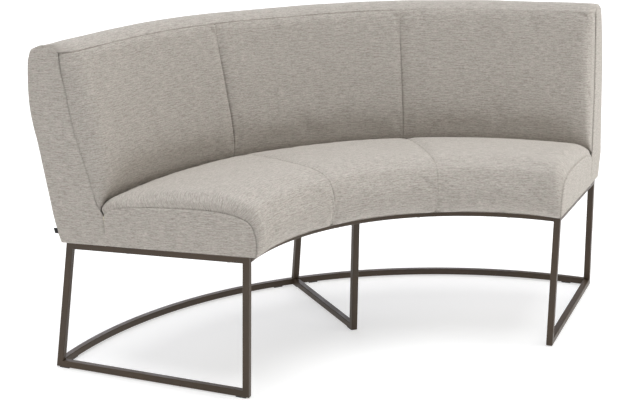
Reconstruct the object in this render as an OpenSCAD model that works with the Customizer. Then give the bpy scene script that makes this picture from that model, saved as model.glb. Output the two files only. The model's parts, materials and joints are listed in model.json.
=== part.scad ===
// Curved banquette bench: a quarter ring of upholstery on a welded square-tube frame.
// The sitter faces the middle of the ring, towards -Y. The base stands on z = 0, and the
// origin is under the middle of the bounding box. The top of the steel frame slopes back, and
// every section of the seat and the back is drawn along that slope: its first number runs from
// the front face of the end legs to the rear, its second one stands square to the slope.

/* [Ring] */
// Angle between the two end frames, in degrees
ring_angle = 90; // [75:5:100]
// Radius of the front faces of the end legs
front_r = 633; // [560:10:800]

/* [Steel frame] */
// Side of the square tube
tube = 18; // [16:1:22]
// Wall of the square tube
tube_wall = 1.5; // [1:0.25:2.5]
// Outside corner radius of the square tube
tube_corner = 2; // [1.6:0.1:2.5]
// Height of the steel frame at its front, above its glides
frame_h = 383; // [340:5:430]
// Backward slope of the seat and of the frame's top, in degrees
seat_slope = 3; // [0:0.5:5]
// How far the top of a rear leg stands in from the rear of the upholstery
rear_inset = 11.5; // [7:0.5:12]
// How far the top of a rear leg stands in from its foot
rear_kick = 43; // [20:5:60]
// How far the middle leg stands back from the end legs
mid_setback = 126; // [100:2:200]
// Thickness of the plastic glides
glide_h = 3; // [2:0.5:6]
// Length of a glide
glide_l = 28; // [20:1:36]
// Width of a glide
glide_w = 14; // [10:1:16]

/* [Seat] */
// From the nose of the seat to the crease at the back
seat_d = 451; // [430:5:490]
// Height of the seat crown above the steel frame
seat_rise = 146; // [138:2:170]
// How far the seat nose stands out past the end legs
nose_out = 37; // [34:1:44]
// Height of the seat's wooden frame
seat_frame_h = 50; // [40:2:54]
// Thickness of the base foam of the seat
seat_foam_t = 26; // [20:1:28]
// Width of an elastic strap
strap_w = 60; // [40:2:66]
// Thickness of an elastic strap
strap_t = 2; // [1.5:0.25:2.5]

/* [Back] */
// Height of the top of the back above the steel frame
back_rise = 519; // [480:5:580]
// How far the front of the back leans out from the crease to its top seam
back_lean = 65; // [58:1:70]
// How far the foot of the front board stands behind the crease
board_behind = 24; // [20:1:28]
// How far the top of the front board stands behind the top seam
board_top_behind = 59; // [54:1:64]
// From the top board of the back up to the crest of its padding
top_pad_t = 60; // [54:1:66]
// Thickness of the back at its foot, behind the crease
back_base = 116; // [112:1:124]
// How far the rear of the upholstery leans out
rear_lean = 80; // [74:1:88]
// Angle by which both ends of the back lean in above the crease
end_lean = 5.5; // [4:0.5:7]
// Thickness of the base foam of the back
back_foam_t = 12; // [8:1:16]
// Thickness of the bent front board of the back
front_board_t = 5; // [4:0.5:6]
// Thickness of the bent rear board of the back
rear_board_t = 3; // [2:0.5:4]

/* [Covers] */
// How far the upholstery stands out past the outer faces of the end frames
side_out = 8; // [6:1:14]
// Thickness of the side covers with their wadding
side_cover_t = 4; // [2:0.5:5]
// Thickness of the rear cover with its wadding
rear_cover_t = 3; // [2:0.5:4]
// Thickness of the dust cover under the seat
dust_t = 1; // [0.6:0.1:1.5]
// Depth of the channel at a sewn seam
seam_depth = 4; // [2:0.5:7]
// Half the width of the channel at a sewn seam
seam_w = 30; // [16:2:40]
// How far a panel swells between its seams
pad_crown = 3; // [0:0.5:6]
// Distance over which the pads roll down to the end covers
edge_roll = 90; // [60:5:120]

/* [Wood] */
// Thickness of the plywood ribs, cross pieces and end boards
ply = 18; // [15:1:20]
// Thickness of the bent rails of the seat frame
rail_t = 22; // [20:1:26]
// Width of the bent foot rail of the back
foot_rail_t = 20; // [18:1:21]
// Height of the bent foot rail of the back
foot_rail_h = 50; // [40:2:60]

/* [Hidden] */
$fn = 48;

half = ring_angle / 2;
panels = 3;
panel_angle = ring_angle / panels;
// Gap that keeps soft and wooden pieces from running into each other
fit_gap = 0.3;
// How far a cut runs past what it cuts
overrun = 1;

// The front corner of the frame's top, where the slope starts
base_z = glide_h + frame_h;
crease = seat_d - nose_out;
rear_base = crease + back_base;
// Length of the frame's top along the slope, and depth of the frame along the floor
top_outer = rear_base - rear_inset;
frame_foot = top_outer * cos(seat_slope) + rear_kick;
// Radius and height of a point of a sloping section
function level(p) = [front_r + p[0] * cos(seat_slope) + p[1] * sin(seat_slope),
    base_z - p[0] * sin(seat_slope) + p[1] * cos(seat_slope)];

// Across each end, measured outwards from the inner face of the end frame
side_t = tube + side_out;
pad_t = side_t - side_cover_t;
board_t = pad_t - ply;
// Angle by which rings run on before they are cut at the ends
end_spare = atan(2 * side_t / front_r);

// Layers of the seat, from the steel frame up
wood_z = dust_t;
strap_z = seat_frame_h;
foam_z = strap_z + strap_t;
pad_z = foam_z + seat_foam_t;
strap_count = 12;

// Layers of the back along the slope, and the heights of its boards
board_foot = crease + board_behind;
board_top = crease + back_lean + board_top_behind;
board_top_z = back_rise - top_pad_t;
rib_top = board_top_z - ply;
foam_foot = board_foot - back_foam_t;
foam_top = board_top - back_foam_t;
function mix(a, b, s) = a + (b - a) * s;
function board_x(z) = mix(board_foot, board_top, (z - pad_z) / (board_top_z - pad_z));

// The wooden frame of the seat, from front to rear
seat_front = (tube - rail_t) / 2;
seat_back = foam_foot;
seat_rear = seat_back - rail_t;

// Seat outline inside a pad, as shares of the depth and of the rise, from the lower edge
// of the front over the nose to the crease
seat_shares = [[0.033, 0], [0.012, 0.14], [0, 0.31], [0, 0.47], [0.01, 0.62], [0.03, 0.77],
    [0.066, 0.885], [0.155, 0.968], [0.32, 1], [0.54, 0.99], [0.76, 0.94], [0.92, 0.85], [1, 0.73]];
// The same line along the seam of the side cover, where the pad is drawn in
seat_end_shares = [[0.04, 0], [0.033, 0.158], [0.032, 0.29], [0.038, 0.41], [0.052, 0.55],
    [0.079, 0.635], [0.118, 0.69], [0.182, 0.74], [0.29, 0.78], [0.475, 0.79], [0.725, 0.755],
    [0.9, 0.69], [0.969, 0.575]];
// The hidden side of a seat pad: up the front board, then over the base foam
seat_inner_up_shares = [0, 0.2, 0.4, 0.6, 0.8, 1];
seat_inner_over_shares = [0.03, 0.12, 0.3, 0.52, 0.7, 0.84, 0.9];

// Back outline inside a pad, as shares of the lean from the crease and of the back's rise
back_shares = [[0.092, 0.17], [0.04, 0.207], [-0.108, 0.236], [-0.177, 0.281], [-0.154, 0.347],
    [-0.046, 0.434], [0.138, 0.53], [0.338, 0.632], [0.538, 0.728], [0.708, 0.809],
    [0.838, 0.873], [0.93, 0.921], [1, 0.956]];
// The same line along the seam of the side cover
back_end_shares = [[-0.154, 0.158], [-0.12, 0.173], [-0.015, 0.191], [0.108, 0.224],
    [0.277, 0.289], [0.477, 0.366], [0.69, 0.439], [0.877, 0.507], [1.06, 0.59], [1.215, 0.678],
    [1.354, 0.767], [1.508, 0.85], [1.63, 0.94]];
// Heights at which the hidden side of a back pad has its points, as shares of the board
back_inner_shares = [0, 0.04, 0.09, 0.16, 0.25, 0.37, 0.49, 0.61, 0.72, 0.81, 0.89, 0.95, 1];

// The strip over the top, as shares of the way from its front seam to its rear seam and of
// the back's rise, inside and at the ends
strip_shares = [[0, 0.956], [0.031, 0.977], [0.1, 0.992], [0.224, 1], [0.42, 0.992],
    [0.66, 0.973], [0.88, 0.946], [1, 0.906]];
strip_end_shares = [[0, 0.94], [0.03, 0.949], [0.11, 0.957], [0.28, 0.962], [0.52, 0.961],
    [0.73, 0.955], [0.9, 0.938], [1, 0.906]];
strip_inner_shares = [0, 0.08, 0.2, 0.36, 0.54, 0.72, 0.88, 1];
// The rear of the upholstery, as shares of its lean and of the back's rise
rear_shares = [[0, 0], [0.05, 0.023], [0.13, 0.071], [0.3, 0.202], [0.5, 0.347],
    [0.72, 0.505], [0.845, 0.578], [0.955, 0.665], [1, 0.751], [1, 0.838], [0.98, 0.906]];
// Where the rings of a pad lie between its two ends
ring_shares = [0, 0.012, 0.03, 0.06, 0.11, 0.2, 0.34, 0.5, 0.66, 0.8, 0.89, 0.94, 0.97, 0.988, 1];

// The rear of the upholstery, along the slope
rear_line = [for (p = rear_shares) [rear_base + p[0] * rear_lean, p[1] * back_rise]];
// The ends' seams, along the slope
function scaled(shares, dx, dz, x0) = [for (p = shares) [x0 + p[0] * dx, p[1] * dz]];
seat_at_end = scaled(seat_end_shares, seat_d, seat_rise, -nose_out);

// The ring's middle lies this far in front of the origin
y_front = cos(half) * min([for (p = seat_at_end) level(p)[0]]) - sin(half) * side_t;
y_rear = max([for (p = rear_line) level(p)[0]]);
ring_y = (y_front + y_rear) / 2;
far = 2 * y_rear;

// Screws through the steel top rails into the wood above them
screw_r = 2.3;
screw_hole_r = 2.4;
screw_head_r = 4.5;
screw_head_h = 2.5;
screw_grip = 30;
screw_edge = 60;
screw_angle_shares = [-0.75, -0.25, 0.25, 0.75];
front_screw_y = tube / 2;
rear_screw_y = top_outer - tube / 2;

// A small bare fabric tab in the rear seam of the left end
tab_out = 10;
tab_h = 15;
tab_t = 1.2;
tab_z = 24;

steel = "#4b443c";
cloth = "#b9b1a7";
wood = "#c8a878";
plastic = "#1c1c1c";
foam = "#e8dfa8";

// Turns a piece drawn on the +Y side of the ring to its angle, clockwise from above
module at_angle(a) {
    translate([0, -ring_y, 0]) rotate([0, 0, -a]) children();
}

// The left pieces mirror the right ones
module on_side(side) {
    if (side < 0) mirror([1, 0, 0]) children();
    else children();
}

// Turns a profile of radius and height around the middle of the ring
module ring(a0, a1) {
    translate([0, -ring_y, 0]) rotate([0, 0, 90 - a1])
        rotate_extrude(angle = a1 - a0, $fn = 180) children();
}

// Everything between the two end planes, moved out by t
module between_ends(t) {
    apex = -t / sin(half);
    intersection() {
        children();
        translate([0, -ring_y, 0]) linear_extrude(far)
            polygon([[0, apex], [far * sin(half), apex + far * cos(half)], [0, far],
                [-far * sin(half), apex + far * cos(half)]]);
    }
}

// Turns a section along the slope around the middle of the ring
module sloped_ring(a0, a1) {
    ring(a0, a1) translate([front_r, base_z]) rotate(-seat_slope) children();
}

// Moves a piece on the +Y side of the ring onto the slope
module on_slope() {
    translate([0, front_r, base_z]) rotate([-seat_slope, 0, 0]) children();
}

// How far the ends of the back lean in at height z: they stand upright up to the crease
function lean_in(z) = max(0, z - pad_z) * tan(end_lean);

// All that lies inside of the right end of the back, moved out by t
module inside_end(t) {
    at_angle(half) on_slope() intersection() {
        translate([t - far, -far, -far]) cube([far, 2 * far, 2 * far]);
        translate([t, 0, pad_z]) rotate([0, -end_lean, 0]) translate([-far, -far, -far])
            cube([far, 2 * far, 2 * far]);
    }
}

// A section of the back as a ring that ends on its two leaning ends
module back_ring() {
    intersection() {
        sloped_ring(-half - end_spare, half + end_spare) children();
        inside_end(pad_t);
        mirror([1, 0, 0]) inside_end(pad_t);
    }
}

// A section of the back as a piece along its right end, from t to t + w across
module back_slab(t, w) {
    intersection() {
        at_angle(half) soft_slab(t - lean_in(back_rise), w + lean_in(back_rise)) children();
        difference() {
            inside_end(t + w);
            inside_end(t);
        }
    }
}

// A section of the upholstery as a ring that ends on the two end planes
module soft_ring(t) {
    between_ends(t) sloped_ring(-half - end_spare, half + end_spare) children();
}

// A section of the upholstery as a flat piece from t to t + w across
module soft_slab(t, w) {
    on_slope() translate([t, 0, 0]) rotate([90, 0, 90]) linear_extrude(w) children();
}

// Square tube section with rounded corners, its outer lower corner at the origin
module tube_section() {
    difference() {
        round_square(tube, tube_corner);
        translate([tube_wall, tube_wall]) square(tube - 2 * tube_wall);
    }
}

module round_square(side, r) {
    translate([r, 0]) square([side - 2 * r, side]);
    translate([0, r]) square([side, side - 2 * r]);
    for (x = [r, side - r], y = [r, side - r]) translate([x, y]) circle(r);
}

// Corners of a closed outline moved inwards by d, for an outline that turns left
function unit(v) = v / norm(v);
function inward(a, b) = let (u = unit(b - a)) [-u[1], u[0]];
function inset(p, d) = [for (i = [0 : len(p) - 1]) let (
    n = len(p),
    n0 = inward(p[(i + n - 1) % n], p[i]),
    n1 = inward(p[i], p[(i + 1) % n]))
    p[i] + (n0 + n1) * d / (1 + n0 * n1)];

// Side i of an outline in radius and height as a tube with mitred ends, from 0 to tube across
module mitred_tube(outline, i) {
    inner = inset(outline, tube);
    k = (i + 1) % len(outline);
    a = outline[i];
    b = outline[k];
    intersection() {
        translate([0, a[0], a[1]]) rotate([atan2(b[1] - a[1], b[0] - a[0]), 0, 0])
            translate([0, -overrun, 0]) rotate([-90, 0, 0]) mirror([0, 1, 0])
                linear_extrude(norm(b - a) + 2 * overrun) tube_section();
        translate([-overrun, 0, 0]) rotate([90, 0, 90]) linear_extrude(tube + 2 * overrun)
            polygon([a, b, inner[k], inner[i]]);
    }
}

// Outline of a leg frame whose front leg stands y out: floor rail, rear leg, top rail, front leg
function leg_frame(y) = [[front_r + y, glide_h], [front_r + frame_foot, glide_h],
    level([top_outer, 0]), [front_r + y, base_z - y * tan(seat_slope)]];
end_frame = leg_frame(0);
middle_frame = leg_frame(mid_setback);

module screw_hole(y) {
    on_slope() translate([tube / 2, y, -tube - overrun])
        cylinder(r = screw_hole_r, h = tube + 2 * overrun);
}

module end_tube(side, i) {
    color(steel) on_side(side) at_angle(half) mitred_tube(end_frame, i);
}

module end_top_rail(side) {
    color(steel) on_side(side) at_angle(half) difference() {
        mitred_tube(end_frame, 2);
        for (y = [screw_edge, seat_rear - screw_edge]) screw_hole(y);
    }
}

module middle_tube(i) {
    color(steel) at_angle(0) translate([-tube / 2, 0, 0]) mitred_tube(middle_frame, i);
}

// The set-back leg ends under the top rail
module middle_front_leg() {
    color(steel) difference() {
        middle_tube(3);
        at_angle(0) on_slope() translate([-tube, 0, -tube]) cube([2 * tube, far, far]);
    }
}

// The top rail of the middle frame runs on to the front rail
module middle_top_rail() {
    color(steel) at_angle(0) translate([-tube / 2, 0, 0]) difference() {
        mitred_tube(end_frame, 2);
        on_slope() translate([-overrun, -far, -far / 2]) cube([tube + 2 * overrun, far + tube, far]);
        for (y = [mid_setback + screw_edge, seat_rear - screw_edge]) screw_hole(y);
    }
}

module rail_holes(y) {
    for (s = screw_angle_shares) at_angle(s * half) translate([-tube / 2, 0, 0]) screw_hole(y);
}

// The front top rail lies flush with the front faces of the end legs
module front_top_rail() {
    color(steel) difference() {
        sloped_ring(-half, half) translate([0, -tube]) tube_section();
        rail_holes(front_screw_y);
    }
}

// The right half of a rear rail ends at the side of the middle frame
module half_rail(side) {
    color(steel) on_side(side) difference() {
        children();
        at_angle(0) translate([-tube / 2, 0, 0]) cube([tube, far, far]);
        rail_holes(rear_screw_y);
    }
}

module rear_floor_rail(side) {
    half_rail(side) ring(0, half) translate([front_r + frame_foot - tube, glide_h]) tube_section();
}

module rear_top_rail(side) {
    half_rail(side) sloped_ring(0, half) translate([top_outer - tube, -tube]) tube_section();
}

module glide(a, t, y, turn) {
    at_angle(a) translate([t, front_r + y, 0]) rotate([0, 0, turn])
        translate([-glide_w / 2, -glide_l / 2, 0]) cube([glide_w, glide_l, glide_h]);
}

module glides() {
    near_front = glide_l / 2 + tube / 2;
    near_rear = frame_foot - near_front;
    rear_ring = frame_foot - tube / 2;
    beside_middle = atan((tube + glide_l * 3 / 2) / (front_r + frame_foot));
    beside_end = half - atan(glide_l * 2 / (front_r + frame_foot));
    color(plastic) {
        for (side = [-1, 1], y = [near_front, near_rear]) glide(side * half, side * tube / 2, y, 0);
        for (y = [mid_setback + near_front, near_rear]) glide(0, 0, y, 0);
        for (a = [-beside_end, -beside_middle, beside_middle, beside_end]) glide(a, 0, rear_ring, 90);
    }
}

// Puts a child at each screw, its origin on the middle line at the top of the steel frame
module at_screws() {
    for (side = [-1, 1], y = [screw_edge, seat_rear - screw_edge]) at_angle(side * half)
        on_slope() translate([side * tube / 2, y, 0]) children();
    for (y = [mid_setback + screw_edge, seat_rear - screw_edge]) at_angle(0)
        on_slope() translate([0, y, 0]) children();
    for (s = screw_angle_shares, y = [front_screw_y, rear_screw_y]) at_angle(s * half)
        on_slope() translate([0, y, 0]) children();
}

// Screws from below, their heads against the undersides of the top rails
module frame_screws() {
    color("silver") at_screws() {
        translate([0, 0, -tube - screw_head_h]) cylinder(r = screw_head_r, h = screw_head_h);
        translate([0, 0, -tube]) cylinder(r = screw_r, h = tube + screw_grip);
    }
}

// The same places as holes in the wood
module screw_bores() {
    at_screws() translate([0, 0, -overrun]) cylinder(r = screw_hole_r, h = screw_grip + 2 * overrun);
}

module seat_front_board() {
    color(wood) difference() {
        soft_ring(board_t) translate([seat_front, wood_z]) square([rail_t, seat_frame_h - wood_z]);
        screw_bores();
    }
}

module seat_rear_board() {
    color(wood) soft_ring(board_t) translate([seat_rear, wood_z]) square([rail_t, seat_frame_h - wood_z]);
}

// A straight board of the seat frame, across from t
module seat_board(y0, y1, t) {
    soft_slab(t, ply) translate([y0, wood_z]) square([y1 - y0, seat_frame_h - wood_z]);
}

module seat_end_board(side) {
    color(wood) difference() {
        on_side(side) at_angle(half) seat_board(seat_front, seat_back, board_t);
        screw_bores();
    }
}

module seat_cross_boards() {
    color(wood) difference() {
        for (a = [-half / 2, 0, half / 2]) at_angle(a)
            seat_board(seat_front + rail_t, seat_rear - fit_gap, -ply / 2);
        screw_bores();
    }
}

module seat_straps() {
    length = seat_back - seat_front - rail_t / 2;
    color("#3a3a3a") for (i = [0 : strap_count - 1])
        at_angle((i * 2 + 1) / strap_count * half - half) on_slope()
            translate([-strap_w / 2, seat_front + rail_t / 4, strap_z])
                cube([strap_w, length, strap_t]);
}

module seat_base_foam() {
    color(foam) soft_ring(pad_t) translate([seat_front, foam_z])
        square([seat_back - seat_front, seat_foam_t]);
}

module dust_cover() {
    color("#202020") difference() {
        soft_ring(pad_t) translate([seat_front, 0]) square([foot_rail_y + foot_rail_t - seat_front, dust_t]);
        screw_bores();
    }
}

// The rear of the upholstery at height z, and that line moved in by d between two heights
rear_top = rear_line[len(rear_line) - 1];
function rear_x(z) = lookup(z, [for (p = rear_line) [p[1], p[0]]]);
function rear_layer(d, z0, z1) = [for (z = concat([z0],
    [for (p = rear_line) if (p[1] > z0 && p[1] < z1) p[1]], [z1])) [rear_x(z) - d, z]];
function reversed(v) = [for (i = [len(v) - 1 : -1 : 0]) v[i]];
foot_rail_y = rear_base - rear_cover_t - rear_board_t - foot_rail_t;

// Plywood rib: a ledge for the front board, two windows and a notch for the foot rail
window_shares = [0.34, 0.72];
window_reach_share = 0.07;

module rib() {
    window_r = ply;
    difference() {
        polygon(concat([[seat_back, wood_z], [seat_back, pad_z], [board_foot + front_board_t, pad_z],
            [board_x(rib_top) + front_board_t, rib_top]],
            reversed(rear_layer(rear_cover_t + rear_board_t, wood_z, rib_top))));
        translate([foot_rail_y - fit_gap, 0]) square([far, wood_z + foot_rail_h + fit_gap]);
        for (s = window_shares)
            rib_window(mix(pad_z, rib_top, s), rib_top * window_reach_share, window_r);
    }
}

module rib_window(z, reach, r) {
    for (dz = [-reach, reach]) translate([rib_middle(z + dz), z + dz]) circle(r);
    polygon([for (dz = [-reach, reach], side = [-1, 1])
        [rib_middle(z + dz) + side * sign(dz) * -r, z + dz]]);
}

function rib_middle(z) = (board_x(z) + front_board_t + rear_x(z) - rear_cover_t - rear_board_t) / 2;

module back_end_rib(side) {
    color(wood) on_side(side) back_slab(board_t, ply) rib();
}

module back_inner_ribs() {
    color(wood) for (a = [-panel_angle / 2, panel_angle / 2]) at_angle(a) soft_slab(-ply / 2, ply) rib();
}

module back_foot_rail() {
    color(wood) difference() {
        soft_ring(pad_t) translate([foot_rail_y, wood_z]) square([foot_rail_t, foot_rail_h]);
        screw_bores();
    }
}

module back_top_board() {
    color(wood) back_ring() polygon([for (z = [rib_top, board_top_z]) [board_x(z) + front_board_t, z],
        for (z = [board_top_z, rib_top]) [rear_x(z) - rear_cover_t, z]]);
}

// A leaning layer of the back, from d0 to d1 behind the front face of the front board
module leaning_layer(d0, d1) {
    back_ring() polygon([[board_foot + d0, pad_z], [board_foot + d1, pad_z],
        [board_top + d1, board_top_z], [board_top + d0, board_top_z]]);
}

module back_front_board() {
    color(wood) leaning_layer(0, front_board_t);
}

module back_base_foam() {
    color(foam) leaning_layer(-back_foam_t, 0);
}

module back_rear_board() {
    color(wood) back_ring() polygon(concat(rear_layer(rear_cover_t, wood_z, rib_top),
        reversed(rear_layer(rear_cover_t + rear_board_t, wood_z, rib_top))));
}

module rear_cover() {
    color(cloth) back_ring() polygon(concat(rear_layer(0, 0, rear_top[1]),
        reversed(rear_layer(rear_cover_t, 0, rear_top[1]))));
}

// Pads: a closed section swept around the ring, drawn in at the ends and at the seams
function round_in(v) = v >= 1 ? 1 : sqrt(1 - (1 - v) * (1 - v));
function seam_dip(d) = d >= seam_w ? 0 : seam_depth * (1 - d / seam_w) * (1 - d / seam_w);
function arc_length(deg, r) = deg * PI / 180 * r;

// Ring position: its angle and how far it is moved across, for panel k at share u
function ring_a(k, u) = (k + u - 0.5) * panel_angle;
function ring_t(k, u) = k > 0 ? u * pad_t : k < 0 ? (u - 1) * pad_t : 0;
// Distances from a ring position to the end of the bench and to the nearest seam
function to_end(k, u, r) = arc_length(half - abs(ring_a(k, u)), r) + pad_t - abs(ring_t(k, u));
function to_seam(k, u, r) = arc_length(panel_angle, r) * (k > 0 ? u : k < 0 ? 1 - u : min(u, 1 - u));

// A point of the outer side, drawn by d towards its partner on the inner side
function drawn(p, q, d) = p + unit(q - p) * min(d, norm(q - p) / 2);
function outer_ring(k, u, inside, at_end, inner, r) = let (
    s = round_in(to_end(k, u, r) / edge_roll),
    dip = seam_dip(to_seam(k, u, r)),
    swell = pad_crown * sqrt(abs(sin(180 * u))) * s,
    last = len(inside) - 1)
    [for (i = [0 : last]) drawn(mix(at_end[i], inside[i], s), inner[i], dip - swell * sin(180 * i / last))];

function in_space(p, a, t) = let (q = level(p))
    [sin(a) * q[0] + cos(a) * t, cos(a) * q[0] - sin(a) * t - ring_y, q[1]];
function closed_ring(outer, inner, a, t) = [for (p = concat(outer, reversed(inner))) in_space(p, a, t)];
// The same with the ends leaning in
function leaning(p, a, t) = in_space(p, a, t * (1 - lean_in(p[1]) / pad_t));
function leaning_ring(outer, inner, a, t) = [for (p = concat(outer, reversed(inner))) leaning(p, a, t)];

// A solid through closed rings, each of them outer points and then the inner ones reversed
module swept(rings) {
    n = len(rings[0]);
    last = (len(rings) - 1) * n;
    walls = [for (j = [0 : len(rings) - 2], i = [0 : n - 1]) let (
        a = j * n + i, b = j * n + (i + 1) % n)
        each [[a, b, a + n], [b, b + n, a + n]]];
    start = [for (i = [0 : n / 2 - 2]) each [[i, n - 1 - i, i + 1], [i + 1, n - 1 - i, n - 2 - i]]];
    end = [for (f = start) [f[2] + last, f[1] + last, f[0] + last]];
    polyhedron(points = [for (g = rings) each g], faces = concat(walls, start, end));
}

seat_inside = scaled(seat_shares, seat_d, seat_rise, -nose_out);
seat_inner = concat([for (s = seat_inner_up_shares) [seat_front, mix(fit_gap, pad_z, s)]],
    [for (s = seat_inner_over_shares) [mix(seat_front, seat_back, s), pad_z]]);

module seat_pad(k) {
    color(cloth) swept([for (u = ring_shares) closed_ring(
        outer_ring(k, u, seat_inside, seat_at_end, seat_inner, front_r),
        seat_inner, ring_a(k, u), ring_t(k, u))]);
}

back_inside = scaled(back_shares, back_lean, back_rise, crease);
back_at_end = scaled(back_end_shares, back_lean, back_rise, crease);
back_inner = [for (s = back_inner_shares)
    [mix(foam_foot, foam_top, s) - fit_gap, mix(pad_z + fit_gap, board_top_z, s)]];

module back_pad(k) {
    color(cloth) swept([for (u = ring_shares) leaning_ring(
        outer_ring(k, u, back_inside, back_at_end, back_inner, front_r + crease),
        back_inner, ring_a(k, u), ring_t(k, u))]);
}

// The strip shares its front edge with the back pads and its rear edge with the rear cover
function strip_line(shares, front) = [for (p = shares)
    [mix(front[0], rear_top[0], p[0]), p[1] * back_rise]];
pad_top = back_inside[len(back_inside) - 1];
pad_top_end = back_at_end[len(back_at_end) - 1];
strip_inside = strip_line(strip_shares, pad_top);
strip_at_end = strip_line(strip_end_shares, pad_top_end);
strip_inner = [for (s = strip_inner_shares)
    [mix(foam_top - fit_gap, rear_top[0] - rear_cover_t, s), board_top_z + fit_gap]];

module top_strip() {
    color(cloth) swept([for (k = [-1 : 1], u = ring_shares) if (u > 0 || k < 0) let (
        s = round_in(to_end(k, u, front_r + crease) / edge_roll))
        leaning_ring([for (i = [0 : len(strip_inside) - 1]) mix(strip_at_end[i], strip_inside[i], s)],
            strip_inner, ring_a(k, u), ring_t(k, u))]);
}

// The side covers close the ends of the pads
seat_side_rear = seat_at_end[len(seat_at_end) - 1][0];

module seat_side_cover(side) {
    color(cloth) on_side(side) at_angle(half) soft_slab(pad_t, side_cover_t)
        polygon(concat(seat_at_end, [[seat_side_rear, 0]]));
}

module back_side_cover(side) {
    foot = seat_side_rear + fit_gap;
    color(cloth) on_side(side) back_slab(pad_t, side_cover_t)
        polygon(concat([[foot, 0], [foot, back_at_end[0][1]]], back_at_end,
            [for (i = [1 : len(strip_at_end) - 1]) strip_at_end[i]],
            [for (i = [len(rear_line) - 2 : -1 : 0]) rear_line[i]]));
}

module seam_tab() {
    color("#2a2a2a") on_side(-1) back_slab(pad_t, tab_t)
        polygon([for (z = [tab_z, tab_z + tab_h]) [rear_x(z), z],
            for (z = [tab_z + tab_h, tab_z]) [rear_x(z) + tab_out, z]]);
}

end_tube(-1, 3);  // left_front_leg
end_tube(-1, 1);  // left_rear_leg
end_tube(-1, 0);  // left_floor_rail
end_top_rail(-1);  // left_top_rail
middle_front_leg();
middle_tube(1);  // middle_rear_leg
middle_tube(0);  // middle_floor_rail
middle_top_rail();
end_tube(1, 3);  // right_front_leg
end_tube(1, 1);  // right_rear_leg
end_tube(1, 0);  // right_floor_rail
end_top_rail(1);  // right_top_rail
front_top_rail();
rear_floor_rail(-1);  // rear_floor_rail_left
rear_floor_rail(1);  // rear_floor_rail_right
rear_top_rail(-1);  // rear_top_rail_left
rear_top_rail(1);  // rear_top_rail_right
glides();
frame_screws();
seat_front_board();
seat_rear_board();
seat_end_board(-1);  // seat_end_board_left
seat_end_board(1);  // seat_end_board_right
seat_cross_boards();
seat_straps();
seat_base_foam();
dust_cover();
seat_pad(-1);  // seat_pad_left
seat_pad(0);  // seat_pad_middle
seat_pad(1);  // seat_pad_right
seat_side_cover(-1);  // seat_side_cover_left
seat_side_cover(1);  // seat_side_cover_right
back_end_rib(-1);  // back_end_rib_left
back_end_rib(1);  // back_end_rib_right
back_inner_ribs();
back_foot_rail();
back_top_board();
back_front_board();
back_rear_board();
back_base_foam();
back_pad(-1);  // back_pad_left
back_pad(0);  // back_pad_middle
back_pad(1);  // back_pad_right
top_strip();
back_side_cover(-1);  // back_side_cover_left
back_side_cover(1);  // back_side_cover_right
rear_cover();
seam_tab();
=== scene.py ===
import json
import math

import bpy
import numpy as np
from bpy.props import FloatProperty, FloatVectorProperty, PointerProperty
from mathutils import Matrix, Vector


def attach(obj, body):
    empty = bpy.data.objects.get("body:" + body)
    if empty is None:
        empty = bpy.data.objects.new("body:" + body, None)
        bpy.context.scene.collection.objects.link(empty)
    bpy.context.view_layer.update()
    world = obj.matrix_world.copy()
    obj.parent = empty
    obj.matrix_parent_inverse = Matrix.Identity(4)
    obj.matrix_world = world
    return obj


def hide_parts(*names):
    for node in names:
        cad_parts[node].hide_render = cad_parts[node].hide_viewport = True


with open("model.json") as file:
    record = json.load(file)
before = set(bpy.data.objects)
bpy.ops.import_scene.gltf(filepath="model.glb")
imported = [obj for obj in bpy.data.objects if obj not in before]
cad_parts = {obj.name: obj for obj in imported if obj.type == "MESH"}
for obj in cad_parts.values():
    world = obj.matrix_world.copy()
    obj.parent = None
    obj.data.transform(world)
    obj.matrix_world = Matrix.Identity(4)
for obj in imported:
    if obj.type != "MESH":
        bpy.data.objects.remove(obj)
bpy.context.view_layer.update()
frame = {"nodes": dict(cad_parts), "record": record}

bl_info = {
    "name": "Curved banquette bench",
    "version": (1, 0, 0),
    "blender": (4, 5, 0),
    "location": "View3D > Sidebar > Bench",
    "description": "Upholsters and finishes a quarter-ring bench around its packed CAD frame",
    "category": "Object",
}

# Outlines of the upholstery along the frame's slope, as shares of the sizes below. The first
# number runs from the front to the rear, the second one stands square to the slope.
SEAT_SHARES = [(0.033, 0), (0.012, 0.14), (0, 0.31), (0, 0.47), (0.01, 0.62), (0.03, 0.77),
               (0.066, 0.885), (0.155, 0.968), (0.32, 1), (0.54, 0.99), (0.76, 0.94),
               (0.92, 0.85), (1, 0.73)]
SEAT_END_SHARES = [(0.04, 0), (0.033, 0.158), (0.032, 0.29), (0.038, 0.41), (0.052, 0.55),
                   (0.079, 0.635), (0.118, 0.69), (0.182, 0.74), (0.29, 0.78), (0.475, 0.79),
                   (0.725, 0.755), (0.9, 0.69), (0.969, 0.575)]
BACK_SHARES = [(0.092, 0.17), (0.04, 0.207), (-0.108, 0.236), (-0.177, 0.281), (-0.154, 0.347),
               (-0.046, 0.434), (0.138, 0.53), (0.338, 0.632), (0.538, 0.728), (0.708, 0.809),
               (0.838, 0.873), (0.93, 0.921), (1, 0.956)]
BACK_END_SHARES = [(-0.154, 0.158), (-0.12, 0.173), (-0.015, 0.191), (0.108, 0.224),
                   (0.277, 0.289), (0.477, 0.366), (0.69, 0.439), (0.877, 0.507),
                   (1.06, 0.59), (1.215, 0.678), (1.354, 0.767), (1.508, 0.85), (1.63, 0.949)]
STRIP_SHARES = [(0, 0.956), (0.07, 0.966), (0.15, 0.977), (0.24, 0.988), (0.33, 0.994),
                (0.43, 0.995), (0.56, 0.991), (0.75, 0.972), (0.9, 0.943), (1, 0.906)]
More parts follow.
